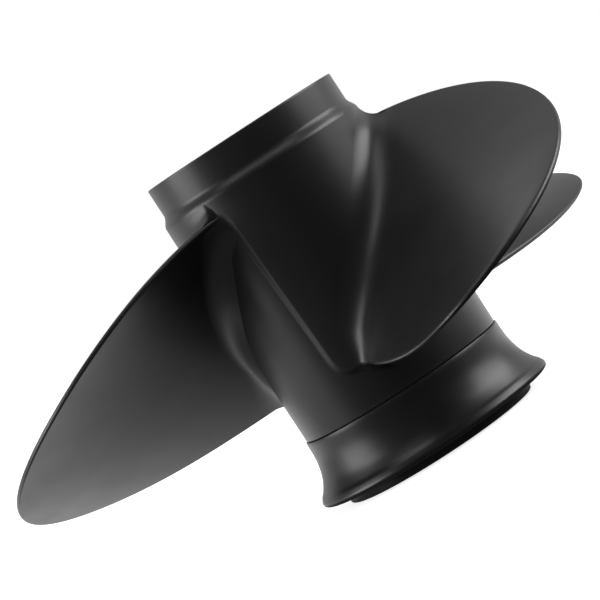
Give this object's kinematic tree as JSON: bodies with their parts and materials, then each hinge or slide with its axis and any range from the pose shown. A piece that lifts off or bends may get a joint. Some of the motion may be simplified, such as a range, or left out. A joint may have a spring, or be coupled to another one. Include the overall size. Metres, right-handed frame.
{
  "type": "boat propeller",
  "caption": "Matt black right-hand outboard propeller: bladed exhaust-through hub with flared diffuser ring, rubber-cushioned splined sleeve, washers, castle nut and split pin.",
  "frame": {"origin": "on the propeller shaft axis, in the plane of the hub's aft end, on which the propeller stands", "axes": "+Z along the shaft towards the bow, -Z towards the stern; -Y is the side between the roots of the first and last blades, +X to its right"},
  "size_m": [0.2004, 0.2137, 0.1095],
  "materials": {
    "black_paint": "satin black paint on cast aluminium",
    "bushing_rubber": "moulded matt rubber",
    "bronze": "machined",
    "stainless_steel": "machined"
  },
  "bodies": {
    "propeller": {"hub_barrel": "black_paint", "blade_1": "black_paint", "blade_2": "black_paint", "blade_3": "black_paint", "diffuser_ring": "black_paint", "inner_hub": "black_paint", "exhaust_rib_1": "black_paint", "exhaust_rib_2": "black_paint", "exhaust_rib_3": "black_paint", "rubber_bushing": "bushing_rubber"},
    "drive": {"drive_sleeve": "bronze"},
    "forward_washer": {"thrust_washer": "bronze"},
    "aft_stack": {"aft_spacer": "bronze", "plain_washer": "stainless_steel"},
    "nut": {"castle_nut": "stainless_steel"},
    "pin": {"cotter_pin": "stainless_steel"}
  },
  "joints": [
    {"name": "cushion_twist", "type": "hinge", "parent": "propeller", "child": "drive", "pos_m": [0, 0, 0.053], "axis": [0, 0, 1], "range_deg": [-10, 10], "stiffness_Nm_per_rad": 0.5},
    {"name": "thrust_washer_slide", "type": "slide", "parent": "propeller", "child": "forward_washer", "axis": [0, 0, 1], "range_m": [0, 0.02]},
    {"name": "stack_travel", "type": "slide", "parent": "propeller", "child": "aft_stack", "axis": [0, 0, -1], "range_m": [0, 0.00625]},
    {"name": "nut_turn", "type": "hinge", "parent": "aft_stack", "child": "nut", "pos_m": [0, 0, 0.01], "axis": [0, 0, -1], "range_deg": [0, 1850]},
    {"name": "pin_pull", "type": "slide", "parent": "nut", "child": "pin", "axis": [1, 0, 0], "range_m": [0, 0.014]}
  ],
  "couplings": [
    {"joint": "nut_turn", "follows": "stack_travel", "rad_per_m": 5026.5}
  ]
}
